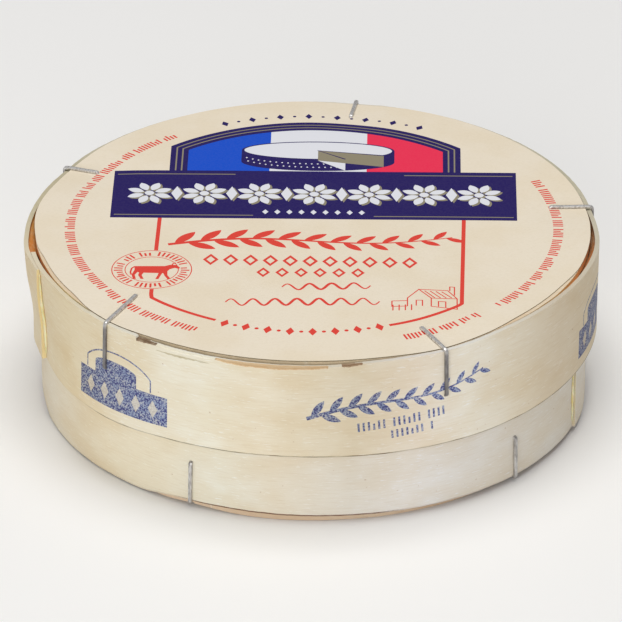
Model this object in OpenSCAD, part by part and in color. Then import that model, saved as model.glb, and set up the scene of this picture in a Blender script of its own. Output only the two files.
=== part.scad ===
// A shut round camembert box of thin wood veneer.
// Millimetres, +Z up, front towards -Y, origin at the centre of the underside.

/* [Lid] */
// Diameter of the lid's top disc, and of the label on it
lid_d = 110; // [90:1:140]
// Thickness of the lid's top disc
lid_disc_t = 1.5; // [1.2:0.1:2.5]
// Thickness of the paper label
label_t = 0.2; // [0.1:0.05:0.4]
// Height of the lid's hoop
lid_hoop_h = 19.8; // [14:0.1:24]
// How far the label stands above the hoop's top edge
lid_proud = 0.8; // [0.4:0.1:1.2]

/* [Base] */
// Height from the ground to the label
box_h = 36.2; // [32:0.1:60]
// How much smaller the base's radius is than the lid disc's
base_inset = 0.8; // [0.5:0.1:3]
// How far the base is from round: half the difference of its two widths
base_oval = 0.7; // [0:0.1:0.9]
// Thickness of the bottom disc
bottom_t = 1.5; // [1.4:0.1:2.5]
// How far the bottom disc stands out below the base's hoop
bottom_proud = 1.2; // [0.8:0.1:1.4]

/* [Veneer strips] */
// Thickness of the strips that make the hoops
veneer_t = 0.9; // [0.6:0.1:1.2]
// Angle over which the lid hoop's two ends overlap
lap_span = 7.5; // [4:0.5:12]

/* [Staples] */
// Width of the staple wire
wire_w = 0.8; // [0.5:0.1:1.2]
// Thickness of the staple wire
wire_t = 0.6; // [0.4:0.05:0.6]
// Length of a staple's leg down or up the side
side_leg = 9.6; // [5:0.1:12]
// Length of a base staple's leg under the bottom
under_leg = 9; // [5:0.5:14]
// Length of the points that are driven into the wood
point_l = 0.8; // [0.4:0.1:0.9]

/* [Hidden] */
$fn = 180;

// Clearance between fitted pieces
fit = 0.05;
// Clearance between the lid disc's edge and the inside of its hoop at a tight staple
rim_fit = 0.1;
// Staples in each ring, the angle between two, and where each ring starts
staples = 5;
staple_step = 360 / staples;
lid_staple_a0 = 8.8;
base_staple_a0 = 27.7;
// Length of each lid staple's leg on the label, and how far that leg is turned askew
top_leg = [8.8, 8, 7.6, 12.4, 10];
top_skew = [-4, 0, 5, 17, 2];
// Angles of the glued ends: the lid hoop's outer end and the base hoop's outer end
lid_lap_a = 198;
base_lap_a = 339.7;
// Angle over which an outer end rises over the inner one, and the base's step there
lap_rise = 20;
base_lap_step = 0.5;
// Width, in degrees, of a glue bead, and how far it stands out
glue_span = 1.3;
glue_t = 0.55;

// How slack the lid's hoop is at each staple, counting from lid_staple_a0
rim_slack = [0.1, 0.1, 0.1, 0, 0];
// How far its upper edge bows out halfway to the next staple
rim_bow = [0.2, 0.2, 0.8, 0.25, 1.0];
// The gap round the base below each staple, and its change halfway to the next
foot_gap = [1.4, 1.5, 0.4, 2.3, 1.1];
foot_bow = [0, 0, -0.9, -0.3, -0.5];
// Direction in which the base is widest
base_oval_a = 325;

// Sizes that follow from the ones above
disc_r = lid_d / 2;
base_r = disc_r - base_inset;
bottom_r = base_r - base_oval - fit;
disc_top = box_h - label_t;
disc_bottom = disc_top - lid_disc_t;
hoop_top = box_h - lid_proud;
hoop_bottom = hoop_top - lid_hoop_h;
steps = 126;

// ---- Shape of the hoops ----

function ease(t) = (1 - cos(180 * min(max(t, 0), 1))) / 2;
function polar(r, a, z) = [r * cos(a), r * sin(a), z];
function turns_past(a) = (((a - lid_staple_a0) % 360 + 360) % 360) / staple_step;
// A value that goes evenly from staple to staple and bows between them
function around(at, bow, a) =
    let (q = turns_past(a), k = floor(q) % staples, t = q - floor(q), next = (k + 1) % staples)
    at[k] + (at[next] - at[k]) * ease(t) + bow[k] * pow(sin(180 * t), 2);
function rim_in(a) = disc_r + rim_fit + around(rim_slack, rim_bow, a);
function base_wall(a) = base_r + base_oval * cos(2 * (a - base_oval_a));
function foot_in(a) = base_wall(a) + around(foot_gap, foot_bow, a);
function lid_face(a, z) =
    let (f = (z - hoop_bottom) / lid_hoop_h)
    foot_in(a) + (rim_in(a) - foot_in(a)) * f + veneer_t;
function base_face(a) =
    let (past = ((a - base_lap_a) % 360 + 360) % 360)
    base_wall(a) + base_lap_step * (1 - ease(past / lap_rise));

// A bar with a four-cornered section, through a list of sections
module bar(sections) {
    n = len(sections);
    points = [for (s = sections) each s];
    sides = [for (i = [0:n - 2], j = [0:3])
        let (a = 4 * i + j, b = 4 * i + (j + 1) % 4)
        each [[a, b, b + 4], [a, b + 4, a + 4]]];
    ends = [[3, 2, 1], [3, 1, 0], [4 * n - 4, 4 * n - 3, 4 * n - 2], [4 * n - 4, 4 * n - 2, 4 * n - 1]];
    polyhedron(points = points, faces = concat(sides, ends));
}

// ---- Staples ----
// A staple is made with its corner at the origin, x outwards. With room above 0, only its
// points are made, that much larger all round: the holes that they go into.

// Tilt of the lid hoop's face at an angle, positive where the foot is further in
function face_tilt(a) = atan2(rim_in(a) - foot_in(a), lid_hoop_h);

// The leg that lies flat, its point turned down
module flat_leg(l, room) {
    if (room == 0) translate([-l, -wire_w / 2, 0]) cube([l, wire_w, wire_t]);
    translate([-l - room, -wire_w / 2 - room, -point_l - room])
        cube([wire_t + 2 * room, wire_w + 2 * room, point_l + wire_t]);
}

// The leg down the side, its point turned in, with the rounded corner above it
module side_part(tilt, room) {
    if (room == 0) intersection() {
        rotate([90, 0, 0]) cylinder(r = wire_t, h = wire_w, center = true, $fn = 32);
        translate([0, -wire_w, -2 * wire_t]) cube([2 * wire_t, 2 * wire_w, 4 * wire_t]);
    }
    rotate([0, tilt, 0]) {
        if (room == 0) translate([0, -wire_w / 2, -side_leg]) cube([wire_t, wire_w, side_leg]);
        translate([-point_l - room, -wire_w / 2 - room, -side_leg - room])
            cube([point_l + wire_t, wire_w + 2 * room, wire_t + 2 * room]);
    }
}

module lid_wire(k, room = 0) {
    a = lid_staple_a0 + k * staple_step;
    rotate(a) translate([lid_face(a, box_h) + fit, 0, box_h]) {
        rotate(top_skew[k]) flat_leg(top_leg[k], room);
        side_part(face_tilt(a), room);
    }
}

module base_wire(k, room = 0) {
    a = base_staple_a0 + k * staple_step;
    rotate(a) translate([base_face(a) + fit, 0, wire_t]) mirror([0, 0, 1]) {
        flat_leg(under_leg, room);
        side_part(0, room);
    }
}

module lid_holes() {
    for (k = [0:staples - 1]) lid_wire(k, fit);
}

module base_holes() {
    for (k = [0:staples - 1]) base_wire(k, fit);
}

// ---- Base ----

// The base with its contents, shut in: one solid out to the outer face of its hoop
module base_body() {
    color([0.86, 0.81, 0.71])
    difference() {
        translate([0, 0, bottom_proud]) linear_extrude(disc_bottom - bottom_proud)
            polygon([for (i = [0:steps])
                let (a = base_lap_a + 360 * i / steps, r = i < steps ? base_face(a) : base_wall(a))
                [r * cos(a), r * sin(a)]]);
        translate([0, 0, -1]) cylinder(r = bottom_r + fit, h = bottom_t + 1);
        base_holes();
    }
}

module bottom_disc() {
    color([0.80, 0.68, 0.58])
    difference() {
        cylinder(r = bottom_r, h = bottom_t);
        base_holes();
        for (k = [0:staples - 1])
            let (a = base_staple_a0 + k * staple_step)
            rotate(a) translate([base_face(a) - under_leg, -wire_w / 2 - fit, -1])
                cube([under_leg, wire_w + 2 * fit, wire_t + 1 + fit]);
    }
}

module base_staple(k) {
    color([0.58, 0.57, 0.58]) base_wire(k);
}

// A bead of glue in the step where the base hoop's outer end lies over the inner one
module base_glue() {
    z0 = bottom_proud + 1.5;
    z1 = hoop_bottom - 1;
    a1 = base_lap_a - 0.1;
    a0 = a1 - glue_span;
    r = base_face(a0) + fit;
    color([0.85, 0.68, 0.35])
    bar([for (z = [z0, z1])
        [polar(r, a0, z), polar(r, a1, z), polar(r + glue_t, a1, z), polar(r + glue_t / 3, a0, z)]]);
}

// ---- Lid ----

module lid_disc() {
    color([0.84, 0.79, 0.70])
    difference() {
        translate([0, 0, disc_bottom]) cylinder(r = disc_r, h = lid_disc_t);
        lid_holes();
    }
}

module label() {
    color([0.90, 0.87, 0.80])
    difference() {
        translate([0, 0, disc_top]) cylinder(r = disc_r, h = label_t);
        lid_holes();
    }
}

// One strip of veneer, wound once round and lapped over its own inner end
module lid_hoop() {
    color([0.87, 0.82, 0.72])
    difference() {
        bar([for (i = [0:steps])
            let (u = (360 + lap_span) * i / steps,
                 a = lid_lap_a - lap_span + u,
                 lift = (veneer_t + fit) * ease((u - 360 + lap_rise) / lap_rise),
                 foot = foot_in(a) + lift,
                 rim = rim_in(a) + lift)
            [polar(foot, a, hoop_bottom), polar(foot + veneer_t, a, hoop_bottom),
             polar(rim + veneer_t, a, hoop_top), polar(rim, a, hoop_top)]]);
        lid_holes();
    }
}

module lid_staple(k) {
    color([0.58, 0.57, 0.58]) lid_wire(k);
}

// A bead of glue in the step where the lid hoop's outer end lies over the inner one
module lid_glue() {
    z0 = hoop_bottom + 2;
    z1 = hoop_top - 0.6;
    a0 = lid_lap_a + 0.1;
    a1 = a0 + glue_span;
    color([0.85, 0.72, 0.40])
    bar([for (z = [z0, z1])
        let (r0 = lid_face(a0, z) + fit, r1 = lid_face(a1, z) + fit)
        [polar(r0, a0, z), polar(r1, a1, z), polar(r1 + glue_t / 3, a1, z), polar(r0 + glue_t, a0, z)]]);
}

base_body();
bottom_disc();
lid_hoop();
lid_disc();
label();
lid_glue();
base_glue();
lid_staple(0);  // lid_staple_1
lid_staple(1);  // lid_staple_2
lid_staple(2);  // lid_staple_3
lid_staple(3);  // lid_staple_4
lid_staple(4);  // lid_staple_5
base_staple(0);  // base_staple_1
base_staple(1);  // base_staple_2
base_staple(2);  // base_staple_3
base_staple(3);  // base_staple_4
base_staple(4);  // base_staple_5
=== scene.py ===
"""Looks of a shut round camembert box: bare veneer hoops and discs, a printed paper label,
wire staples and dried glue. Lengths inside the functions are in millimetres; meshes are in metres."""
import random
from math import acos, atan2, ceil, cos, degrees, exp, hypot, pi, radians, sin, sqrt

import bpy
import numpy as np
from mathutils import Euler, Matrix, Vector, noise
from mathutils.geometry import delaunay_2d_cdt


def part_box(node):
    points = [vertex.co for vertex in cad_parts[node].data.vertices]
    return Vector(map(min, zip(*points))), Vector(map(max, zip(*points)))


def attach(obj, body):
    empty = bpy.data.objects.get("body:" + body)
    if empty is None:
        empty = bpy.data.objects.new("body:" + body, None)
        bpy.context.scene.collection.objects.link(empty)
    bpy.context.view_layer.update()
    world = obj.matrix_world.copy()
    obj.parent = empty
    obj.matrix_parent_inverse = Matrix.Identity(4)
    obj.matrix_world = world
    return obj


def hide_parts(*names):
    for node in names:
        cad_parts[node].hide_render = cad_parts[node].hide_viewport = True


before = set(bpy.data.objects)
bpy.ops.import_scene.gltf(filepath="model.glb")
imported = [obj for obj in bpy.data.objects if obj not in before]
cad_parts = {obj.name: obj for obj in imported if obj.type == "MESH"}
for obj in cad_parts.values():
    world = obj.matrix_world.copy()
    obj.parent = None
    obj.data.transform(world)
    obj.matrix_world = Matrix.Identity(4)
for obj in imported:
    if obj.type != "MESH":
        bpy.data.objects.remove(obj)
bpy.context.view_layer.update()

# ---- Sizes, from the frame ----

MM = 0.001


def box_mm(node):
    low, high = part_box(node)
    return low / MM, high / MM


label_low, label_high = box_mm("label")
hoop_low, hoop_high = box_mm("lid_hoop")
base_low, base_high = box_mm("base_body")
foot_high = box_mm("bottom_disc")[1]
wire_high = box_mm("lid_staple_2")[1]

LID_TOP = label_high.z
PAPER = LID_TOP - label_low.z
DISC_R = label_high.x
DISC_T = label_low.z - base_high.z
HOOP_FOOT, HOOP_TOP = hoop_low.z, hoop_high.z
HOOP_H = HOOP_TOP - HOOP_FOOT
BASE_FOOT = base_low.z
FOOT_R, FOOT_T = foot_high.x, foot_high.z
WIRE_T = wire_high.z - LID_TOP
WIRE_W = 0.8

# The rest of the shape, as the construction has it
VENEER = 0.9
FIT = 0.05
BASE_OVAL = 0.7
BASE_R = FOOT_R + BASE_OVAL + FIT
STAPLES = 5
STEP = 360 / STAPLES
LID_STAPLE_A0 = 8.8
BASE_STAPLE_A0 = 27.7
LAP_SPAN = 7.5
LID_LAP_A = 198.0
BASE_LAP_A = 339.7
LAP_RISE = 20.0
LID_GLUE_A = 198.65
BASE_LAP_STEP = 0.5
TOP_LEG = [8.8, 8, 7.6, 12.4, 10]
TOP_SKEW = [-4, 0, 5, 17, 2]
SIDE_LEG = 9.6
UNDER_LEG = 9.0
POINT_L = 0.8
RIM_SLACK = [0.1, 0.1, 0.1, 0, 0]
RIM_BOW = [0.2, 0.2, 1.1, 0.25, 0.9]
FOOT_GAP = [1.4, 1.5, 0.4, 2.3, 1.1]
FOOT_BOW = [0, 0, -0.9, -0.3, -0.5]
BASE_OVAL_A = 325
STRIP_START = LID_LAP_A - LAP_SPAN
STRIP_TURN = 360 + LAP_SPAN


def clamp(x, low=0.0, high=1.0):
    return min(max(x, low), high)


def ease(t):
    return (1 - cos(pi * clamp(t))) / 2


def apart(a, b):
    """The angle between two directions, 0 to 180."""
    return abs((a - b + 180) % 360 - 180)


def near(a, middle, reach, fade):
    """1 about a direction, falling to 0 where a is reach degrees from it."""
    return ease((reach - apart(a, middle)) / fade)


def polar(r, a, z=0.0):
    return Vector((r * cos(radians(a)), r * sin(radians(a)), z))


def heading(x, y):
    """The direction of a place from the middle, in degrees."""
    return degrees(atan2(y, x))


def rough(x, y, seed, scale=1.0):
    """Smooth noise between about -1 and 1."""
    return noise.noise(Vector((x / scale, y / scale, seed * 7.31 + 0.5)))


def round_rough(a, seed, scale, r=55.0):
    """Noise along a circle, with no break where it closes."""
    p = polar(r / scale, a, seed * 7.31 + 0.5)
    return noise.noise(p)


def around(at, bow, a, late=()):
    """A value that goes evenly from staple to staple and bows between them, later on in some gaps."""
    q = ((a - LID_STAPLE_A0) % 360) / STEP
    k = int(q) % STAPLES
    t = q - int(q)
    after = at[(k + 1) % STAPLES]
    peak = t * t if k in late else t
    return at[k] + (after - at[k]) * ease(t) + bow[k] * sin(pi * peak) ** 2


def rim_in(a):
    return DISC_R + 0.1 + around(RIM_SLACK, RIM_BOW, a, late=(4,))


def base_wall(a):
    return BASE_R + BASE_OVAL * cos(radians(2 * (a - BASE_OVAL_A)))


def base_face(a):
    past = (a - BASE_LAP_A) % 360
    return base_wall(a) + BASE_LAP_STEP * (1 - ease(past / LAP_RISE))


def foot_in(a):
    return base_wall(a) + around(FOOT_GAP, FOOT_BOW, a)


def strip_radius(u, h, outwards):
    """Radius of the lid's strip, u degrees along it and h up it, outwards 0 inside to 1 outside."""
    a = STRIP_START + u
    up = clamp(h / HOOP_H)
    lift = (VENEER + FIT) * ease((u - 350) / 10)
    hug = 0.7 * (ease((32 - u) / 12) if u < 180 else ease((u - 350) / 12))
    rim = max(rim_in(a) - hug, DISC_R + 0.12)
    r = foot_in(a) + (rim - foot_in(a)) * h / HOOP_H
    r -= 0.65 * near(a, 186, 30, 20) * ease((0.8 - up) / 0.5)
    wave = 0.14 * rough(u, h * 0.4, 3, 9.0) * sin(pi * up)
    thick = VENEER * (1 - 0.4 * ease((u - 358) / 9) * up)
    return max(r, base_wall(a) + 0.05) + lift + wave + outwards * thick


def near_staple(a, a0, width):
    """1 at a staple, falling to 0 away from it."""
    return max(exp(-(apart(a, a0 + k * STEP) / width) ** 2) for k in range(STAPLES))


def lid_dip(x, y):
    """How far the lid's top lies below its full height: pulled down at the rim by the staples."""
    pulled = 0.5 * near_staple(heading(x, y), LID_STAPLE_A0, 9) * ease((hypot(x, y) - 38) / 17)
    warp = 0.07 * (1 + rough(x, y, 5, 28.0))
    return pulled + warp


def foot_lift(x, y):
    """How far the bottom disc is pulled up at the rim by its staples."""
    return 0.7 * near_staple(heading(x, y), BASE_STAPLE_A0, 9) * ease((hypot(x, y) - 42) / 11)


def base_drop(a):
    """How far the base's hoop comes down over the bottom disc's edge: it does so at the left front."""
    return 0.95 * near(a, 214, 26, 9)


def linear(colour):
    """Linear light from a colour in 0 to 255."""
    values = [c / 255 for c in colour]
    return tuple(c / 12.92 if c <= 0.04045 else ((c + 0.055) / 1.055) ** 2.4 for c in values)


def laid(colour, strength=1):
    """Paint for a face: a colour in 0 to 255, and how strong it is."""
    return (*linear(colour), strength)


BARE = (0, 0, 0, 0)
NO_STAMP = (0, 0, 0, 1)


def tone_at(tones, a):
    """The colour at an angle, evenly between those that tones gives, all the way round."""
    angles, *parts = zip(*tones)
    return [float(np.interp(a, angles, part, period=360)) for part in parts]


def tones_round(tones, points):
    """The tone of each point of a hoop."""
    return [(*tone_at(tones, heading(p.x, p.y)), 1) for p in points]


# ---- Meshes ----

def add_object(name, data):
    made = bpy.data.objects.new(name, data)
    bpy.context.scene.collection.objects.link(made)
    return made


def add_piece(name, node, points, faces, material, grain=None, paint=None, sharp=40, tone=None):
    """Makes a piece that stands for a CAD node, from points in millimetres. grain holds a place in
    the wood or paper for each point, paint a colour and its strength for each face, and tone a
    colour for each point."""
    mesh = bpy.data.meshes.new(name)
    mesh.from_pydata([Vector(p) * MM for p in points], [], faces)
    mesh.shade_smooth()
    mesh.set_sharp_from_angle(angle=radians(sharp))
    layer = mesh.attributes.new("grain", "FLOAT_VECTOR", "POINT")
    places = points if grain is None else grain
    layer.data.foreach_set("vector", np.array([tuple(p) for p in places], np.float32).ravel())
    counts = [len(f) for f in faces]
    for key, rows in (paint or {}).items():
        corners = mesh.color_attributes.new(key, "FLOAT_COLOR", "CORNER")
        corners.data.foreach_set("color", np.repeat(np.array(rows, np.float32), counts, axis=0).ravel())
    if tone:
        layer = mesh.color_attributes.new("tone", "FLOAT_COLOR", "POINT")
        layer.data.foreach_set("color", np.array(tone, np.float32).ravel())
    mesh.materials.append(material)
    piece = add_object(name, mesh)
    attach(piece, "root")
    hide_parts(node)
    return piece


def rings_to_solid(rings):
    """Points and faces of a solid from closed rings of equal count, first and last ring capped."""
    n = len(rings[0])
    points = [p for ring in rings for p in ring]
    faces = []
    for j in range(len(rings) - 1):
        for i in range(n):
            k = (i + 1) % n
            faces.append((j * n + i, j * n + k, (j + 1) * n + k, (j + 1) * n + i))
    faces.append(tuple(range(n - 1, -1, -1)))
    faces.append(tuple(range((len(rings) - 1) * n, len(rings) * n)))
    return points, faces


# ---- Flat shapes, as closed outlines ----

def area(shape):
    """Positive where the outline runs anticlockwise."""
    return sum(p[0] * q[1] - q[0] * p[1] for p, q in zip(shape, shape[1:] + shape[:1])) / 2


def oblong(x0, y0, x1, y1):
    return [(x0, y0), (x1, y0), (x1, y1), (x0, y1)]


def ellipse(cx, cy, rx, ry, n=40, a0=0.0, a1=360.0):
    """n steps of an ellipse, or of a part of one with both its ends."""
    steps = n if a1 - a0 >= 360 else n + 1
    angles = [radians(a0 + (a1 - a0) * i / n) for i in range(steps)]
    return [(cx + rx * cos(t), cy + ry * sin(t)) for t in angles]


def arc(r, a0, a1, n, cx=0.0, cy=0.0):
    return ellipse(cx, cy, r, r, n, min(a0, a1), max(a0, a1))[:: 1 if a1 > a0 else -1]


def lozenge(cx, cy, rx, ry, turn=0.0):
    corners = [(rx, 0), (0, ry), (-rx, 0), (0, -ry)]
    return [turned(x, y, turn, cx, cy) for x, y in corners]


def turned(x, y, turn, cx=0.0, cy=0.0):
    c, s = cos(radians(turn)), sin(radians(turn))
    return (cx + c * x - s * y, cy + s * x + c * y)


def leaf(cx, cy, length, width, turn):
    """A pointed leaf that starts at cx, cy."""
    n = 8
    upper = [(length * i / n, width / 2 * sin(pi * i / n) ** 0.8) for i in range(n + 1)]
    lower = [(x, -y) for x, y in reversed(upper[1:-1])]
    return [turned(x, y, turn, cx, cy) for x, y in upper + lower]


def stroke(path, width):
    """The outline of a line along path. width is a number, or a function of the share of the way."""
    size = width if callable(width) else (lambda t: width)
    left, right = [], []
    n = len(path) - 1
    for i, (x, y) in enumerate(path):
        x0, y0 = path[max(i - 1, 0)]
        x1, y1 = path[min(i + 1, n)]
        before = atan2(y - y0, x - x0) if i else atan2(y1 - y, x1 - x)
        after = atan2(y1 - y, x1 - x) if i < n else before
        bend = (after - before + pi) % (2 * pi) - pi
        half = size(i / n) / 2 / max(cos(bend / 2), 0.5)
        nx, ny = -sin(before + bend / 2), cos(before + bend / 2)
        left.append((x + half * nx, y + half * ny))
        right.append((x - half * nx, y - half * ny))
    return left + right[::-1]


def wave(x0, y0, x1, y1, height, turns, per_turn=16):
    """A line of waves from one point to another."""
    n = int(turns * per_turn)
    length, turn = hypot(x1 - x0, y1 - y0), heading(x1 - x0, y1 - y0)
    rows = [(length * i / n, height * sin(2 * pi * turns * i / n)) for i in range(n + 1)]
    return [turned(x, y, turn, x0, y0) for x, y in rows]


def tick_row(place, length, height, seed, thick=0.42, pitch=0.78):
    """Short upright strokes in groups, along a line. place gives a point and a turn for a distance."""
    order = random.Random(seed)
    at, left, foot = 0.0, order.randint(3, 9), -height / 2
    while at < length:
        if left:
            x, y, turn = place(at)
            tall = height * order.choice((1, 1, 1, 0.72))
            yield [turned(px, py, turn, x, y) for px, py in oblong(-thick / 2, foot, thick / 2, foot + tall)]
            left -= 1
        else:
            left = order.randint(3, 9)
        at += pitch


def on_arc(r, a0, way, cx=0.0, cy=0.0):
    """Places along an arc for tick_row, way 1 anticlockwise or -1 clockwise, tops outwards or inwards."""
    def place(at):
        a = a0 + way * degrees(at / r)
        return *turned(r, 0, a, cx, cy), a - 90
    return place


# ---- The label's print ----
# Ink colours, as they look, red, green and blue from 0 to 255

INKS = {
    "navy": (26, 8, 94),
    "blue": (0, 78, 206),
    "white": (230, 232, 240),
    "pink": (240, 44, 84),
    "red": (226, 66, 54),
    "khaki": (146, 138, 116),
}
LABEL_TURN = -1.0
ARCH_R, ARCH_Y = 44.2, 1.0
ARCH_HALF = 29.4
BANNER = (-40.4, 2.7, 40.5, 23.3)


def all_in(ink, shapes):
    return ((ink, shape) for shape in shapes)


def arch_field(x0, x1, inset, n=24):
    """The part of the arched panel between two upright lines, set in from the panel's edge."""
    foot, r = BANNER[3] - 1, ARCH_R - inset
    a0, a1 = (degrees(acos(x / r)) for x in (x1, x0))
    return [(x1, foot)] + arc(r, a0, a1, n, 0, ARCH_Y) + [(x0, foot)]


def arch(inset):
    """The whole arched panel, set in from its edge."""
    return arch_field(inset - ARCH_HALF, ARCH_HALF - inset, inset, 48)


def panel_shapes():
    """The arched panel: navy with two fine lines, and three plain fields of colour."""
    yield "navy", arch(0)
    for inset in (1.1, 2.3):
        yield "khaki", arch(inset)
        yield "navy", arch(inset + 0.3)
    border = 3.6
    edges = [border - ARCH_HALF, -9.2, 10.4, ARCH_HALF - border]
    for ink, left, right in zip(("blue", "white", "pink"), edges, edges[1:]):
        yield ink, arch_field(left, right, border)


def wheel_shapes(cx, foot, half, tall, flat):
    """A cheese wheel with a wedge cut from it, stood on a line, in navy and white."""
    top = foot + tall
    heart, low_heart = (cx, top), (cx, foot + 0.6)
    left, right = (cx + 0.36 * half, -flat * 0.93), (cx + 0.86 * half, -flat * 0.5)
    left_top, right_top = ((x, top + dy) for x, dy in (left, right))
    left_foot, right_foot = ((x, foot + dy) for x, dy in (left, right))
    yield "navy", ellipse(cx, foot, half, flat, 28, 180, 360) + ellipse(cx, top, half, flat, 28, 0, 180)
    yield "white", ellipse(cx, top, half - 0.5, flat - 0.35, 48)
    yield "white", [heart, left_top, left_foot, low_heart]
    yield "khaki", [heart, low_heart, right_foot, right_top]
    yield "navy", stroke([left_top, heart, right_top], 0.35)
    for row in range(2):
        for i in range(16):
            x = cx - half * 0.93 + i * 0.62 * half / 8
            if x < cx + 0.3 * half:
                y = foot + tall * (0.62 - 0.3 * row) - flat * sqrt(max(1 - ((x - cx) / half) ** 2, 0))
                yield "white", lozenge(x + 0.3 * row, y, 0.22, 0.3)


def rosette(cx, cy, r):
    """Eight petals round a centre."""
    for i in range(8):
        a = 22.5 + 45 * i
        x, y = turned(0.26 * r, 0, a, cx, cy)
        yield leaf(x, y, 0.76 * r, 0.4 * r, a)


def banner_shapes():
    """The navy banner: fine lines, and a row of rosettes and lozenges with a khaki shade."""
    x0, y0, x1, y1 = BANNER
    yield "navy", oblong(*BANNER)
    for left, right in ((x0 + 0.7, -16), (18, x1 - 0.7)):
        yield "khaki", oblong(left, y1 - 1.7, right, y1 - 1.4)
    for left, right in ((x0 + 0.7, -12), (12, x1 - 0.7)):
        yield "khaki", oblong(left, y0 + 1.2, right, y0 + 1.5)
    middle = 13.4
    for dx, dy, ink in ((0.45, -0.5, "khaki"), (0, 0, "white")):
        for i in range(7):
            x = -33 + 11 * i
            for petal in rosette(x + dx, middle + dy, 4.6):
                yield ink, petal
            yield ink, ellipse(x + dx, middle + dy, 0.95, 0.95, 16)
            if i < 6:
                yield ink, lozenge(x + 5.5 + dx, middle + dy, 1.15, 3.0)
    for i in range(9):
        yield "white", lozenge(-9.6 + 2.4 * i, 5.6, 0.62, 1.0)


def frame_shapes():
    """The red line that frames the lower half."""
    left = [(-30.5, BANNER[1]), (-30.9, -28.8)] + arc(43.1, 224.5, 245.2, 12)
    right = [(29.9, BANNER[1]), (29.3, -31.8)] + arc(43.4, 311.6, 290.7, 12)
    yield "red", stroke(left, 0.8)
    yield "red", stroke(right, 0.8)


def branch(x0, y0, x1, y1, sway, thick, leaf_l, pairs):
    """A gently swaying stem with leaves on both sides."""
    n = 4 * pairs
    length, slope = hypot(x1 - x0, y1 - y0), heading(x1 - x0, y1 - y0)
    path = [turned(length * i / n, sway * sin(2 * pi * i / n), slope, x0, y0) for i in range(n + 1)]
    yield stroke(path, lambda t: thick * (1 - 0.7 * t))
    for i in range(pairs):
        for step, side in ((4 * i + 1, 1), (4 * i + 3, -1)):
            (px, py), (qx, qy) = path[step], path[step + 1]
            size = leaf_l * (1 - 0.35 * step / n)
            yield leaf(px, py, size, size * 0.34, heading(qx - px, qy - py) + side * 38)


def badge_shapes(cx, cy, r):
    """A round badge: two fine rings, a ring of ticks and a cow."""
    yield "red", ellipse(cx, cy, r, r, 64)
    yield None, ellipse(cx, cy, r - 0.2, r - 0.2, 64)
    middle = r - 1.35
    place = on_arc(middle, 200, -1, cx, cy)
    yield from all_in("red", tick_row(place, 2 * pi * middle, 1.7, 11, pitch=0.92))
    yield "red", ellipse(cx, cy, r - 2.6, r - 2.6, 56)
    yield None, ellipse(cx, cy, r - 2.78, r - 2.78, 56)
    yield from all_in("red", cow(cx + 0.1, cy, 0.68))


def cow(cx, cy, k):
    """A plain walking cow, seen from the side."""
    body = [(-5.2, 1.7), (3.6, 1.9), (5.0, 2.6), (7.0, 2.5), (8.0, 1.0), (7.6, 0.5), (6.4, 1.0), (5.0, 0.2),
            (3.8, -1.9), (-3.4, -1.7), (-5.0, -1.0)]
    legs = [[(-5.0, 0), (-3.7, -0.5), (-4.9, -2.9), (-4.4, -5.0), (-5.3, -5.0), (-5.8, -2.8)],
            [(-3.6, -1), (-2.2, -1.2), (-2.9, -3.0), (-2.2, -5.0), (-3.1, -5.0), (-3.9, -3.0)],
            [(2.0, -1), (3.2, -1.2), (2.6, -3.0), (2.0, -5.0), (1.1, -5.0), (1.7, -3.0)],
            [(3.0, -1), (4.4, -0.6), (4.5, -2.9), (5.5, -4.8), (4.6, -5.0), (3.6, -3.0)]]
    tail = stroke([(-5.1, 1.5), (-5.9, 0.6), (-6.2, -1.4), (-5.9, -2.8)], 0.5)
    horn = stroke([(5.6, 2.5), (5.9, 3.3), (6.7, 3.6)], 0.4)
    for part in [body, tail, horn] + legs:
        yield [(cx + k * x, cy + k * y * 1.15) for x, y in part]


def farmhouse(cx, cy):
    """Fine lines that draw a small gabled house and its fence."""
    lines = [[(-3.6, 0.4), (-3.6, 3.4), (-1.4, 6.6), (1.0, 3.4), (1.0, 0.4)],
             [(-1.4, 6.6), (4.2, 6.2), (6.0, 3.2), (1.0, 3.4)],
             [(-3.6, 0.4), (-6.6, 0.2), (-6.6, 2.2), (-3.6, 2.4)],
             [(6.0, 3.2), (6.0, -0.6), (1.0, 0.4)],
             [(-1.9, 0.6), (-1.9, 2.6), (-0.7, 2.6), (-0.7, 0.5)],
             [(2.4, 0.3), (2.4, 2.2), (3.8, 2.1), (3.8, 0.0)],
             [(4.6, 6.1), (4.6, 7.6), (5.5, 7.5), (5.5, 4.4)]]
    lines += [[(x, -0.9 + 0.06 * x), (x, 1.2 + 0.06 * x)] for x in (-6.4, -5.2, -4.0, -2.8)]
    lines += [[(-1.4 + 1.1 * i, 6.2 - 0.1 * i), (0.6 + 1.1 * i, 3.5)] for i in range(1, 5)]
    for line in lines:
        yield stroke([(cx + x, cy + y * 1.1) for x, y in line], 0.24)


def beads(r, a0, step, wide, tall, dot, up):
    """Lozenges and dots by turns along an arc. up is where on it a lozenge stands straight."""
    for i in range(15):
        a = a0 + step * i
        x, y = turned(r, 0, a)
        yield lozenge(x, y, wide, tall, a - up) if i % 2 == 0 else ellipse(x, y, dot, dot, 12)


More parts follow.
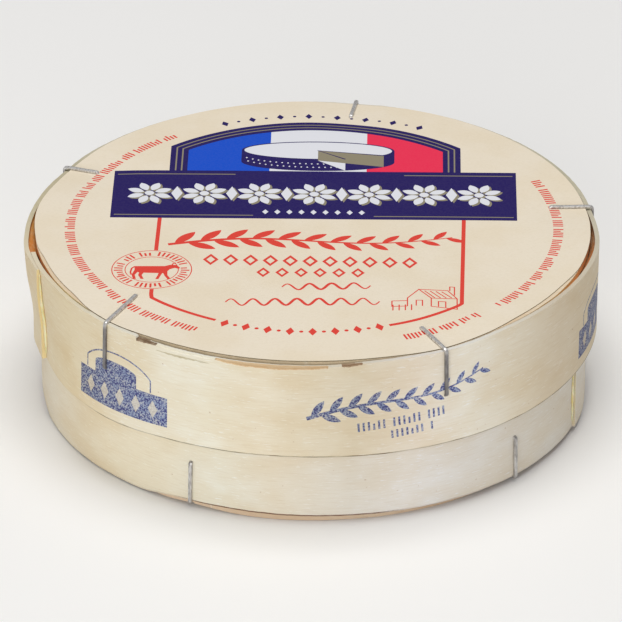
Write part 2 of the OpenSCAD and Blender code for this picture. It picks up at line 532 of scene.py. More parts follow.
def small_print():
    """Rows of ticks, dots and lozenges where such a label has words."""
    yield from all_in("navy", beads(48.0, 113, -3.5, 0.75, 1.15, 0.36, 90))
    rows = ((48.2, 127, 1, 98, 2.0, 21), (48.6, 24, -1, 56, 2.0, 22), (48.5, 292.4, 1, 17, 2.0, 23))
    for r, a0, way, length, height, seed in rows:
        yield from all_in("red", tick_row(on_arc(r, a0, way), length, height, seed))
    for i in range(11):
        x = -19.8 + 3.9 * i
        yield "red", lozenge(x, -14.9 - 0.02 * x, 1.55, 2.3)
        yield None, lozenge(x, -14.9 - 0.02 * x, 0.85, 1.3)
    for i in range(6):
        yield "red", lozenge(-9.4 + 3.7 * i, -19.6, 1.35, 1.95)
        yield None, lozenge(-9.4 + 3.7 * i, -19.6, 0.7, 1.05)
    yield from all_in("red", beads(43.5, 248, 2.86, 0.85, 1.5, 0.42, 270))


def label_print():
    """Every printed shape, later ones over earlier ones. Ink None is bare paper."""
    yield from frame_shapes()
    yield from panel_shapes()
    yield from wheel_shapes(0.5, BANNER[3] + 4.2, 15.5, 5.0, 4.0)
    yield from banner_shapes()
    yield from all_in("red", branch(-28.4, -8.4, 27.6, -4.6, 1.6, 0.9, 6.4, 11))
    for line in (wave(-5.6, -25.6, 11.6, -24.8, 1.2, 4), wave(-16.4, -31.9, 13.4, -31.2, 1.3, 7)):
        yield "red", stroke(line, lambda t: 0.3 + 0.35 * sin(pi * t))
    yield None, ellipse(-31.2, -18.9, 8.0, 8.0, 64)
    yield from badge_shapes(-31.2, -18.9, 7.9)
    yield from all_in("red", farmhouse(22.4, -33.4))
    yield from small_print()


# ---- The label ----

def label_edge(a):
    """The cut paper's radius: short at the left front and the right front, full elsewhere."""
    short = 0.65 * near(a, 203, 16, 9) + 0.7 * near(a, 324, 18, 12)
    bulge = 0.45 * near(a, 173, 14, 14)
    return DISC_R - 0.05 - short + bulge + 0.05 * round_rough(a, 1, 8) + 0.02 * round_rough(a, 2, 1.2)


def divided(shape, step):
    """An outline with its long edges cut into pieces no longer than step."""
    made = []
    for (x0, y0), (x1, y1) in zip(shape, shape[1:] + shape[:1]):
        n = max(1, ceil(hypot(x1 - x0, y1 - y0) / step))
        made += [(x0 + (x1 - x0) * i / n, y0 + (y1 - y0) * i / n) for i in range(n)]
    return made


def flat_mesh(outline, loose, shapes, step):
    """Cuts a flat outline into triangles along the shapes' edges, in pieces no longer than step.
    Returns the points, the faces, the shape number of each face (-1 for none), and the outline's
    points in order."""
    points = [Vector(p) for p in outline]
    cells = [list(range(len(outline)))]
    for shape in [divided(list(shape), step) for shape in shapes]:
        cells.append(list(range(len(points), len(points) + len(shape))))
        points += [Vector(p) for p in (shape if area(shape) > 0 else reversed(shape))]
    points += [Vector(p) for p in loose]
    inside_only, tolerance = 1, 1e-5
    cut = delaunay_2d_cdt(points, [], cells, inside_only, tolerance, True)
    out_points, _, found, came_from, _, ids = cut
    out_faces = [face for face, own in zip(found, ids) if own]
    number = [max(own) - 1 for own in ids if own]
    at = {}
    for new, olds in enumerate(came_from):
        for old in olds:
            at[old] = new
    rim = [at[i] for i in range(len(outline))]
    return out_points, out_faces, number, rim


def make_label(material):
    turn = [(ink, [turned(x, y, LABEL_TURN) for x, y in shape]) for ink, shape in label_print()]
    outline = [polar(label_edge(a), a).xy for a in np.arange(0, 360, 0.75)]
    inner = np.arange(2.5, 53.5, 2.5)
    loose = [polar(r, a + 2 * r).xy for r in inner for a in np.arange(0, 360, 140 / r)]
    loose += [polar(label_edge(a) - 0.5, a).xy for a in np.arange(0, 360, 1.5)]
    flat, faces, number, rim = flat_mesh(outline, loose, [shape for _, shape in turn], step=4)
    top = [Vector((x, y, LID_TOP - lid_dip(x, y))) for x, y in flat]
    n = len(rim)
    shrink = 0.9985
    points = top + [Vector((p.x * shrink, p.y * shrink, p.z - PAPER)) for p in top]
    low = [len(top) + i for i in rim]
    edge = [(rim[i], low[i], low[(i + 1) % n], rim[(i + 1) % n]) for i in range(n)]
    under = [tuple(len(top) + i for i in reversed(face)) for face in faces]
    inks = []
    for face in number:
        ink = turn[face][0] if face >= 0 else None
        inks.append(laid(INKS[ink]) if ink else BARE)
    # The paper's cut edge is painted grey-brown: painted shade along the label's rim.
    inks += [laid((146, 136, 114))] * n + [BARE] * len(under)
    return add_piece("label_paper", "label", points, list(faces) + edge + under,
                     material, paint={"ink": inks}, sharp=60)


# ---- The lid's top disc ----

# Colour of the disc's cut side at some angles: pale, olive at the front, and warm orange by the laps:
# glue stain there, with painted glow of light through the thin veneer over it
DISC_SIDE = [
    (12, 200, 184, 158), (170, 206, 190, 164), (184, 226, 150, 76), (198, 240, 168, 88),
    (206, 226, 206, 140), (224, 214, 206, 164), (232, 186, 170, 140), (270, 202, 186, 156),
    (285, 216, 202, 174), (306, 226, 216, 196), (320, 246, 230, 190), (328, 255, 228, 164),
    (340, 255, 204, 136), (350, 214, 146, 86), (0, 190, 120, 66),
]


def make_lid_disc(material):
    radii = [0.5, 15, 30, 40, 46, 50, 53, 54.4]
    angles = np.arange(0, 360, 1.0)

    def edge_r(a, fibre):
        return DISC_R - 0.02 + 0.1 * round_rough(a, 8, 5) + fibre * 0.06 * round_rough(a, 9, 0.7)

    def ring(below, r=None, fibre=0):
        made = []
        for a in angles:
            p = polar(r or edge_r(a, fibre), a)
            made.append(Vector((p.x, p.y, LID_TOP - PAPER - 0.01 - below - lid_dip(p.x, p.y))))
        return made

    rings = [ring(0, r) for r in radii] + [ring(0.03)]
    rings += [ring(0.15 + DISC_T * share, fibre=1) for share in (0.0, 0.3, 0.6, 0.85)]
    rings += [ring(DISC_T, r) for r in reversed(radii[2:])]
    points, faces = rings_to_solid(rings)
    faces = [tuple(reversed(f)) for f in faces]
    edge = len(radii)
    tints = []
    for f in faces:
        j, i = min(f) // len(angles), min(f) % len(angles)
        side = edge <= j < edge + 4
        tints.append(laid(tone_at(DISC_SIDE, angles[i]), 0.8) if side else BARE)
    return add_piece("lid_disc_wood", "lid_disc", points, faces, material,
                     paint={"tint": tints})


# ---- Tones of the hoops ----
# Peeled veneer is warmer, paler or greyer from place to place: an angle and a factor for red,
# green and blue there. Between them the tone changes evenly, all the way round.

LID_TONES = [
    (20, 1.0, 0.98, 0.95), (70, 0.94, 0.9, 0.86), (120, 1.02, 1.03, 1.06), (165, 0.96, 0.9, 0.82),
    (212, 0.94, 0.88, 0.76), (229, 1.0, 1.0, 1.0), (249, 1.03, 1.08, 1.16), (260, 0.98, 0.97, 0.97),
    (278, 0.86, 0.83, 0.8), (291, 1.0, 1.0, 1.1), (302, 1.04, 1.08, 1.2), (313, 0.96, 0.95, 0.97),
    (328, 0.85, 0.79, 0.74), (345, 0.86, 0.82, 0.78),
]
BASE_TONES = [
    (20, 0.98, 0.99, 1.06), (80, 1.04, 1.02, 1.0), (130, 0.96, 0.93, 0.92), (200, 1.02, 1.0, 0.98),
    (222, 1.08, 1.05, 0.98), (237, 1.05, 1.04, 1.0), (250, 1.07, 1.14, 1.24), (262, 1.0, 0.99, 1.0),
    (278, 0.94, 0.96, 1.05), (289, 1.04, 1.1, 1.32), (302, 0.98, 1.02, 1.18),
    (320, 0.93, 0.95, 1.04), (341, 0.95, 0.97, 1.06),
]


# ---- The lid's hoop ----
# Torn places of the upper outer edge: how far each reaches down at some angles, how deep it goes
# into the wood, its colour and how strong that is. The brown and tan ones are torn wood with the
# shade of the torn recess painted in; the pale second one is a painted highlight.

TEARS = [
    ([(232.8, 0.5), (234.4, 0.42), (237.6, 0.14)], 0.5, (112, 80, 50), 0.9),
    ([(237.8, 0.16), (243, 0.32), (250.4, 0.18)], 0.2, (232, 224, 202), 0.7),
    ([(250.6, 0.16), (255.5, 0.6), (264, 0.68), (272.9, 0.34)], 0.3, (206, 170, 122), 0.75),
    ([(275.6, 0.14), (277, 0.36), (279.6, 0.14)], 0.4, (140, 102, 68), 0.8),
]
BEVEL = 0.07
# A crease below the second of them: its two ends, how far down it is and half its height
GROOVE = (237.5, 249.5, 1.15, 0.3)

# Colour of the inner face's top at some angles: warm orange where the rim stands off the disc, glue
# stain there with painted glow of light through the thin veneer over it
RIM_INSIDE = [
    (140, 176, 160, 112), (164, 196, 160, 92), (178, 222, 164, 84), (190, 214, 136, 64),
    (206, 236, 186, 92), (216, 206, 196, 120), (232, 190, 166, 120), (300, 220, 196, 150),
    (322, 255, 222, 150), (334, 255, 202, 124), (345, 216, 140, 76), (5, 150, 108, 70),
]

# Colour of the hoop's top edge at some angles: greyer at the back quarters
RIM_TOP = [
    (25, 170, 170, 152), (70, 222, 219, 208), (115, 222, 219, 208), (148, 168, 166, 144),
    (172, 186, 184, 160), (190, 222, 219, 208), (342, 214, 211, 198),
]


def tear_span(tear):
    return tear[0][0][0], tear[0][-1][0]


def tear_at(a, tear):
    """How far a torn place reaches down from the top edge."""
    angles, reach = zip(*tear[0])
    ragged = 0.1 * rough(a, 0, 12, 0.8) + 0.07 * rough(a, 0, 13, 0.25)
    return max(float(np.interp(a, angles, reach)) + ragged, 0.12)


def torn_depth(a, below):
    """How deep the outer face is torn in at an angle and a distance below the top."""
    deep = 0.0
    for tear in TEARS:
        a0, a1 = tear_span(tear)
        if a0 <= a <= a1:
            inside = min((tear_at(a, tear) - below) / BEVEL, (a - a0) / BEVEL, (a1 - a) / BEVEL)
            deep = max(deep, tear[1] * clamp(inside))
    g0, g1, centre, half = GROOVE
    if g0 < a < g1:
        taper = sin(pi * (a - g0) / (g1 - g0)) ** 0.5
        deep = max(deep, 0.22 * taper * clamp(1 - abs(below - centre) / (half * taper + 0.01)))
    return deep


def top_edge(a):
    """How far the lid hoop's upper edge stands above its usual height."""
    left = max(0.22 * near(a, 204, 30, 10), 0.42 * near(a, 225.5, 9, 3))
    right = max(0.5 * near(a, 328, 30, 12), 0.28 * near(a, 296, 24, 10))
    high = max(left if a < 232.75 else 0.0, right)
    low = 0.2 * near_staple(a, LID_STAPLE_A0, 5)
    ragged = 0.06 * round_rough(a, 21, 1.5) + 0.04 * round_rough(a, 22, 0.4)
    return high - low + ragged + 0.1 * round_rough(a, 23, 14)


def foot_edge(a):
    """How far the lid hoop's lower edge stands above its usual height."""
    ragged = 0.07 * round_rough(a, 24, 7) + 0.03 * round_rough(a, 25, 1)
    return ragged - 0.35 * near(a, 228, 14, 14)


# Length of one degree of the lid's hoop and of the base's
ARC_MM = radians(1) * 56.2
BASE_ARC_MM = 0.96
BLOCK_STAMP_A = (217.4, 97.4, 337.4)
SCRIPT_STAMP_A = (268.3, 28.3, 148.3)


def block_stamp():
    """A plain printed block with lozenges left bare, under an arch."""
    yield 1, stroke([(1.9, 8.9)] + ellipse(10.2, 8.8, 9.4, 5.7, 20, 28, 152)[::-1] + [(18.5, 8.9)], 0.3)
    yield 1, [(4.3, 8.6)] + ellipse(9.7, 11.2, 5.4, 1.4, 16, 0, 180)[::-1] + [(15.1, 8.6)]
    yield 1, oblong(-0.3, 2.4, 22.3, 8.7)
    for i in range(5):
        yield 0.35, lozenge(3.0 + 4.0 * i, 5.5, 1.1, 1.9)


def script_stamp():
    """A rising branch over two rows of ticks."""
    yield from all_in(1, branch(0.4, 8.6, 36.4, 14.0, 0.9, 0.8, 4.4, 10))
    for x0, y0, length, height in ((10.4, 6.2, 18, 1.9), (17, 4.1, 9, 1.7)):
        place = lambda at, x=x0, y=y0: (x + at, y + 0.07 * at, 4)
        yield from all_in(1, tick_row(place, length, height, 31 + int(x0), pitch=1.0))


def stamps_on_strip():
    """All stamps in strip places: along and up in millimetres."""
    for starts, stamp in ((BLOCK_STAMP_A, block_stamp), (SCRIPT_STAMP_A, script_stamp)):
        for a in starts:
            along = ((a - STRIP_START) % 360) * ARC_MM
            for inked, shape in stamp():
                yield inked, [(along + x, y) for x, y in shape]


def strip_columns():
    """Places along the strip for the mesh: finer where it is torn, and where a tear starts and ends."""
    ends = [end for tear in TEARS for end in zip(tear_span(tear), (BEVEL, -BEVEL))]
    extra = [a - STRIP_START + d for a, bevel in ends for d in (0, bevel)]
    torn_from, torn_to, fine_step, least = 232, 281, 0.22, 0.03
    even = np.linspace(0, STRIP_TURN, 491)
    fine = np.arange(torn_from - STRIP_START, torn_to - STRIP_START, fine_step)
    kept = [u for u in [*even, *fine] if min(abs(u - e) for e in extra) > least]
    return sorted(set(round(float(u), 4) for u in kept + extra))


def strip_point(u, h, outwards, in_by=0.0):
    """A place on the lid's strip: its upper and lower edges are uneven."""
    a = STRIP_START + u
    up = ease((h / HOOP_H - 0.75) / 0.25)
    down = ease((0.25 - h / HOOP_H) / 0.25)
    z = HOOP_FOOT + h + up * top_edge(a % 360) + down * foot_edge(a)
    return polar(strip_radius(u, h, outwards) - in_by, a, z)


def strip_cuts(columns):
    """The stamps, the torn places and the crease, as outlines to cut into the strip's outer face,
    each with its stamp value and its tint."""
    cuts = [(shape, (inked, 0, 0, 1), None) for inked, shape in stamps_on_strip()]
    for tear in TEARS:
        a0, a1 = tear_span(tear)
        own = [u for u in columns if a0 - 1e-6 <= STRIP_START + u <= a1 + 1e-6]
        for inset, span in ((0, own), (BEVEL, own[1:-1])):
            lower = [(u * ARC_MM, HOOP_H - tear_at(STRIP_START + u, tear) + inset) for u in span]
            upper = [(u * ARC_MM, HOOP_H) for u in reversed(span)]
            cuts.append((lower + upper, NO_STAMP, laid(*tear[2:])))
    g0, g1, below, half = GROOVE
    lower, upper = [], []
    for u in columns:
        if g0 < STRIP_START + u < g1:
            fat = half * sin(pi * (STRIP_START + u - g0) / (g1 - g0)) ** 0.6
            lower.append((u * ARC_MM, HOOP_H - below - fat * (0.8 + 0.5 * rough(u, 0, 14, 0.9))))
            upper.append((u * ARC_MM, HOOP_H - below + 0.4 * fat))
    # The crease is painted olive: painted shade in the crease.
    return cuts + [(lower + upper[::-1], NO_STAMP, laid((168, 150, 100), 0.6))]


def make_lid_hoop(material):
    """The strip as one closed mesh: its outer face is cut flat and wound round, and rows over the
    top edge, down the inner face and under the foot close it."""
    columns = strip_columns()
    heights = [0, 0.2, 0.5, 1.5, 3, 4.6, 6.2, 7.8, 9.4, 11, 12.6, 14.2, 15.8, 17.2, 18.2, 18.9, 19.4]
    heights = [h * HOOP_H / 19.8 for h in heights] + [HOOP_H]
    outline = [(u * ARC_MM, 0.0) for u in columns]
    outline += [(columns[-1] * ARC_MM, h) for h in heights[1:-1]]
    outline += [(u * ARC_MM, HOOP_H) for u in reversed(columns)]
    outline += [(0.0, h) for h in reversed(heights[1:-1])]
    loose = [(u * ARC_MM, h) for u in columns[1:-1] for h in heights[1:-1]]
    cuts = strip_cuts(columns)
    flat, faces, number, rim = flat_mesh(outline, loose, [shape for shape, _, _ in cuts], step=0.8)
    points, grain = [], []
    for x, h in flat:
        u = x / ARC_MM
        points.append(strip_point(u, h, 1, torn_depth(STRIP_START + u, HOOP_H - h)))
        grain.append(Vector((x, h, 0)))
    tints, stamp = [], []
    for own, face in zip(number, faces):
        _, ink, tint = cuts[own] if own >= 0 else (None, NO_STAMP, None)
        # Faces along the lid hoop's foot are painted a dark line of shade.
        low_edge = sum(flat[i][1] for i in face) < 0.5
        plain = foot_shade_line(STRIP_START + flat[face[0]][0] / ARC_MM) if low_edge else BARE
        tints.append(tint or plain)
        stamp.append(ink)
    faces = [tuple(f) for f in faces]
    n, up = len(columns), len(heights) - 2
    top_rim = rim[n + up: 2 * n + up][::-1]
    rows = [top_rim]
    # height, share of the thickness from the inner face, and 1 where a shelf reaches in to the disc
    for h, outwards, shelved in (
            (HOOP_H, 0.5, 0), (HOOP_H, 0, 0), (HOOP_H - 0.8, 0, 0), (HOOP_H - 1.6, 0, 1),
            (HOOP_H / 2, 0, 0), (1, 0, 0), (0, 0, 0), (0, 0.5, 0)):
        rows.append(list(range(len(points), len(points) + n)))
        for u in columns:
            a = STRIP_START + u
            deep, crown = (torn_depth(a, 0), 0.03) if outwards else (0, 0)
            shelf = shelved * max(strip_radius(u, h, 0) - max(DISC_R, base_wall(a) + 0.1), 0)
            p = strip_point(u, h, max(outwards - 0.5 * deep, 0), shelf)
            p.z += crown if h > 1 else -crown
            points.append(p)
            grain.append(Vector((u * ARC_MM, h, 3 + 3 * outwards)))
    rows.append(rim[:n])
    for j, (row, after) in enumerate(zip(rows, rows[1:])):
        for i in range(n - 1):
            faces.append((row[i], row[i + 1], after[i + 1], after[i]))
            tints.append(strip_back_tint(j, STRIP_START + columns[i]))
            stamp.append(NO_STAMP)
    first_side = [rim[0]] + rim[-up:][::-1] + [row[0] for row in rows[:-1]]
    last_side = rim[n - 1: n + up] + [row[-1] for row in rows[:-1]]
    faces += [tuple(first_side), tuple(reversed(last_side))]
    tints += [laid((240, 226, 178), 0.9)] * 2
    stamp += [NO_STAMP] * 2
    return add_piece("lid_hoop_wood", "lid_hoop", points, faces, material, grain,
                     {"tint": tints, "stamp": stamp}, 35, tones_round(LID_TONES, points))


def foot_shade_line(a):
    """Colour of the lid hoop's lowest outer edge: a dark line of painted shade along the foot, hardly any at
    the left.
    """
    fades = 1 - 0.9 * near(a, 190, 40, 16)
    return laid((126, 110, 78), fades * clamp(0.72 + 0.5 * round_rough(a, 26, 3)))


def strip_back_tint(row, a):
    """Colour of the strip's top edge, rows 0 and 1, its inner face's top, rows 2 and 3, and the rest, down
    the inner face and under the foot, which is painted darker brown as shade.
    """
    a = a % 360
    for tear in TEARS:
        a0, a1 = tear_span(tear)
        across = row == 1 and tear[1] >= 0.4 and a0 <= a <= a0 + 0.6 * (a1 - a0)
        if across or row == 0 and a0 <= a <= a1:
            return laid(*tear[2:])
    if row in (0, 1):
        return laid(tone_at(RIM_TOP, a), 0.75)
    if row in (2, 3):
        return laid(tone_at(RIM_INSIDE, a), 0.95)
    # Painted shade: the lower inner face and the underside of the foot are darkened.
    return laid((150, 130, 96), 0.6)


# ---- The base ----

def make_base(material):
    """The base's hoop out to its outer face, closed under the lid, hollow below for the bottom disc."""
    angles = [*np.arange(BASE_LAP_A, BASE_LAP_A + 359.5), BASE_LAP_A + 359.6, BASE_LAP_A + 360 - 1e-6]
    radii = [base_face(a) for a in angles[:-2]] + [base_wall(BASE_LAP_A)] * 2

    def ring(z, outwards, edge=0, wave=1):
        made = []
        for a, r in zip(angles, radii):
            ragged = 0.07 * round_rough(a, 31, 3) + 0.05 * round_rough(a, 32, 0.6)
            bumps = wave * 0.1 * round_rough(a, 33 + z / 40, 11)
            drop = edge * (ragged - 0.02 - base_drop(a))
            made.append(polar((r + bumps) * outwards, a, z + drop))
        return made

    inside_r = (FOOT_R - 0.2) / BASE_R
    top_z = LID_TOP - PAPER - DISC_T - 0.75
    rings = [ring(2.7, 0.02, wave=0), ring(2.7, inside_r, wave=0), ring(BASE_FOOT + 0.05, inside_r, 1, 0)]
    rings += [ring(BASE_FOOT, 0.998, 1), ring(BASE_FOOT + 0.12, 1, 1), ring(BASE_FOOT + 0.34, 1, 1)]
    rings += [ring(z, 1) for z in (2.4, 4, 6, 8, 10, 12, 14, 16, 19, 23, 28, top_z)]
    rings += [ring(top_z, 0.6, wave=0), ring(top_z, 0.02, wave=0)]
    points, faces = rings_to_solid(rings)
    grain = [Vector((heading(p.x, p.y) % 360 * BASE_ARC_MM, p.z, 9)) for p in points]
    n = len(angles)
    tints = []
    for f in faces:
        j, i = min(f) // n, min(f) % n
        lap_end = i == n - 2 or (i == 0 and n - 1 in [k % n for k in f])
        if j <= 4:
            seam = 0.15 + 0.75 * near(angles[i], 264, 26, 8)
            tints.append(laid((116, 74, 46), 0.85 if j < 3 else seam))
        elif lap_end:
            tints.append(laid((214, 196, 150), 0.6))
        else:
            # The top rows, under the lid, are painted warm orange: painted glow of light through the thin
            # veneer, seen down the gaps.
            tints.append(laid((240, 170, 90), 0.9) if j >= len(rings) - 4 else BARE)
    return add_piece("base_hoop_wood", "base_body", points, faces, material, grain,
                     {"tint": tints, "stamp": [NO_STAMP] * len(faces)}, 35, tones_round(BASE_TONES, points))


def make_bottom_disc(material):
    """The bottom disc: pulled up at its staples, whose legs are pressed into its underside."""
    beside = (-1.2, -0.8, -0.5, -0.2, 0.2, 0.5, 0.8, 1.2)
    extra = [BASE_STAPLE_A0 + k * STEP + d for k in range(STAPLES) for d in beside]
    even = [a for a in np.arange(0, 360, 1.0) if min(apart(a, e) for e in extra) > 0.25]
    angles = sorted([a % 360 for a in extra] + even)

    def pressed(x, y):
        """Depth of the groove that a staple's leg makes."""
        r, a = hypot(x, y), heading(x, y)
        side = min(radians(apart(a, BASE_STAPLE_A0 + k * STEP)) * r for k in range(STAPLES))
        return 0.32 * ease((0.9 - side) / 0.5) * ease((r - 44.8) / 0.8)

    def ring(r, z, groove=0.0, fibre=0.0):
        made = []
        for a in angles:
            ragged = 0.12 * round_rough(a, 41, 6) + 0.05 * round_rough(a, 42, 0.6)
            p = polar(r + fibre * ragged - base_drop(a) * r / FOOT_R, a)
            made.append(Vector((p.x, p.y, z + foot_lift(p.x, p.y) + groove * pressed(p.x, p.y))))
        return made

    under = [0.5, 20, 36, 43, 44.6, 45.2, 46, 48, 50, 52, 53]
    rings = [ring(r, 0, 1) for r in under]
    rings += [ring(FOOT_R, z, 1 if z < 0.2 else 0, 1) for z in (0.06, 0.45, 0.8, 1.15, FOOT_T - 0.04)]
    rings += [ring(r, FOOT_T) for r in (53.2, 48, 40, 0.5)]
    points, faces = rings_to_solid(rings)
    n = len(angles)
    side = range(len(under) - 1, len(under) + 4)
    tints = [laid((222, 192, 164), 0.5) if min(f) // n in side else BARE for f in faces]
    return add_piece("bottom_disc_wood", "bottom_disc", points, faces, material,
                     paint={"tint": tints})


# ---- Staples ----

def rounded(path, radius, steps=5):
    """A path with its inner corners rounded by arcs."""
    made = [path[0]]
    for before, corner, after in zip(path, path[1:], path[2:]):
        a, b = (before - corner), (after - corner)
        reach = min(radius, a.length * 0.45, b.length * 0.45)
        start, end = corner + a.normalized() * reach, corner + b.normalized() * reach
        for i in range(steps + 1):
            t = i / steps
            made.append(start.lerp(corner, t).lerp(corner.lerp(end, t), t))
    return made + [path[-1]]


def wire_mesh(path, across, width, thick):
    """A flattened round wire along a path. across is the direction of its width."""
    sides, n = 12, len(path)
    rings = []
    for i, p in enumerate(path):
        ahead = (path[min(i + 1, n - 1)] - path[max(i - 1, 0)]).normalized()
        wide = (across - across.dot(ahead) * ahead).normalized()
        high = ahead.cross(wide)
        end = 0.55 if i in (0, n - 1) else 1.0
        ring = []
        for k in range(sides):
            t = 2 * pi * (k + 0.5) / sides
            c, s = cos(t), sin(t)
            flat = (abs(c) ** 3 + abs(s) ** 3) ** (-1 / 3)
            ring.append(p + wide * (width / 2 * c * flat * end) + high * (thick / 2 * s * flat * end))
        rings.append(ring)
    return rings_to_solid(rings)


def resampled(path, step):
    """Extra points along the straight runs of a path."""
    made = [path[0]]
    for a, b in zip(path, path[1:]):
        n = max(1, round((b - a).length / step))
        made += [a.lerp(b, i / n) for i in range(1, n + 1)]
    return made


def add_staple(end, k, path, bend, across, shift, material):
    """One staple of the lid or the base. shift moves its scuffs, so that no two have the same."""
    points, faces = wire_mesh(resampled(rounded(path, bend), 0.6), across, WIRE_W, WIRE_T)
    grain = [Vector(p) + Vector((40 * shift, 0, 0)) for p in points]
    return add_piece(f"{end}_staple_wire_{k + 1}", f"{end}_staple_{k + 1}",
                     points, faces, material, grain)


def make_lid_staple(k, material):
    """Bent over the rim: one leg on the label, one down the hoop, both points driven in."""
    a = LID_STAPLE_A0 + k * STEP
    u = (a - STRIP_START) % 360
    half = WIRE_T / 2
    out = polar(1, a)
    along = polar(1, a + 90)
    corner_r = strip_radius(u, HOOP_H, 1) + half + 0.02

    def on_label(back, side, up):
        """A place over the label, back from the rim's corner."""
        p = out * (corner_r - back) + along * side
        return Vector((p.x, p.y, LID_TOP - lid_dip(p.x, p.y) + up))

    back, side = turned(TOP_LEG[k] - half, 0, -TOP_SKEW[k])
    top = [on_label(back, side, 0.2 - POINT_L)]
    top += [on_label(back * s, side * s, half) for s in (1, 0.75, 0.5, 0.25)]
    down = [strip_point(u, h, 1) + out * (half + 0.02) for h in (17.5, 14.5, HOOP_H - SIDE_LEG + half)]
    inside = down[-1] - out * (POINT_L + half) - Vector((0, 0, 0.15))
    path = top + [on_label(0, 0, half - 0.12)] + down + [inside]
    across = along if abs(TOP_SKEW[k]) < 10 else polar(1, a + 90 + TOP_SKEW[k] / 2)
    return add_staple("lid", k, path, 0.55, across, k, material)


def make_base_staple(k, material):
    """Bent under the base: one leg pressed into the bottom disc, one up the hoop."""
    a = BASE_STAPLE_A0 + k * STEP
    half = WIRE_T / 2
    out, along = polar(1, a), polar(1, a + 90)
    corner_r = base_face(a) + half + 0.05

    def under(back, up):
        p = out * (corner_r - back)
        return Vector((p.x, p.y, half + foot_lift(p.x, p.y) + up))

    lean = 0.25 * sin(2.3 * k + 1)
    path = [under(UNDER_LEG - half, POINT_L)]
    path += [under(back, 0) for back in (UNDER_LEG - half, 6, 4, 2)] + [under(0, -0.02)]
    for share, z in ((0.3, 3.4), (0.7, 7), (1, 9.9)):
        path.append(out * corner_r + along * (lean * share) + Vector((0, 0, z)))
    path.append(path[-1] - out * (POINT_L + half) + Vector((0, 0, 0.15)))
    return add_staple("base", k, path, 0.5, along, k + 7, material)


# ---- Glue ----

def strand(path, width, thick, seed):
    """An uneven string of dried glue."""
    n = len(path) - 1
    rings = []
    for i, p in enumerate(path):
        t = i / n
        lumps = 1 + 0.35 * rough(p.z, 0, seed, 1.3) + 0.2 * rough(p.z, 0, seed + 1, 0.5)
        size = lumps * (0.3 + 0.7 * sin(pi * clamp(t ** 1.6 * 1.02 + 0.01)) ** 0.5)
        out = Vector((p.x, p.y, 0)).normalized()
        side = Vector((-out.y, out.x, 0))
        ring = []
        for k in range(10):
            c, s = cos(2 * pi * k / 10), sin(2 * pi * k / 10)
            ring.append(p + side * (width / 2 * size * c) + out * (thick / 2 * size * s))
        rings.append(ring)
    return rings_to_solid(rings)


def make_glue(name, node, place, z0, z1, width, thick, seed, material):
    """A strand between two heights. place gives the radius and angle at a height."""
    path = []
    for i in range(41):
        z = z1 + (z0 - z1) * i / 40
        r, a = place(z)
        path.append(polar(r, a + 0.25 * rough(z, 0, seed + 5, 4), z))
    points, faces = strand(path, width, thick, seed)
    return add_piece(name, node, points, faces, material)


# ---- Materials ----

def new_material(name, **values):
    """A material with its shader's own values set."""
    made = bpy.data.materials.new(name)
    made.use_nodes = True
    shader = made.node_tree.nodes["Principled BSDF"]
    for key, value in values.items():
        shader.inputs[key.replace("_", " ")].default_value = value
    return made, made.node_tree, shader


def feed(tree, socket, value):
    """Links an input to another node's output, or sets its own value: a colour is given in 0 to 255."""
    if isinstance(value, bpy.types.NodeSocket):
        tree.links.new(value, socket)
    else:
        socket.default_value = laid(value) if socket.type == "RGBA" else value


def add_node(tree, kind, settings=None, **inputs):
    made = tree.nodes.new("ShaderNode" + kind)
    for key, value in (settings or {}).items():
        setattr(made, key, value)
    for key, value in inputs.items():
        feed(tree, made.inputs[key], value)
    return made


def mix(tree, share, one, other, way="MIX"):
    """Two colours mixed."""
    made = add_node(tree, "Mix", {"data_type": "RGBA", "blend_type": way})
    for number, value in ((0, share), (6, one), (7, other)):
        feed(tree, made.inputs[number], value)
    return made.outputs[2]


def spread(tree, value, low, high, to_low=0.0, to_high=1.0):
    """A value's range mapped on another."""
    made = add_node(tree, "MapRange", {"interpolation_type": "SMOOTHSTEP"}, Value=value)
    for socket, number in zip(("From Min", "From Max", "To Min", "To Max"), (low, high, to_low, to_high)):
        made.inputs[socket].default_value = number
    return made.outputs[0]


def calc(tree, way, one, other):
    made = add_node(tree, "Math", {"operation": way})
    feed(tree, made.inputs[0], one)
    feed(tree, made.inputs[1], other)
    return made.outputs[0]


def grain_place(tree):
    """A piece's own place in its wood, paper or wire."""
    return add_node(tree, "Attribute", {"attribute_name": "grain"}).outputs["Vector"]


def pattern(tree, stretch, detail=3.0, shift=0.0):
    """Noise in the piece's own grain, stretched along each direction, in features per millimetre."""
    moved = add_node(tree, "Mapping", Vector=grain_place(tree), Scale=stretch,
                     Location=(shift, shift * 0.7, shift * 0.3)).outputs[0]
    return add_node(tree, "TexNoise", Vector=moved, Scale=1, Detail=detail, Roughness=0.6).outputs["Fac"]


def painted(tree, name):
    """A colour laid on by face, and how strong it is."""
    found = add_node(tree, "Attribute", {"attribute_name": name})
    return found.outputs["Color"], found.outputs["Alpha"]


def bumped(tree, shader, height, strength, distance):
    made = add_node(tree, "Bump", Height=height, Strength=strength, Distance=distance)
    tree.links.new(made.outputs[0], shader.inputs["Normal"])


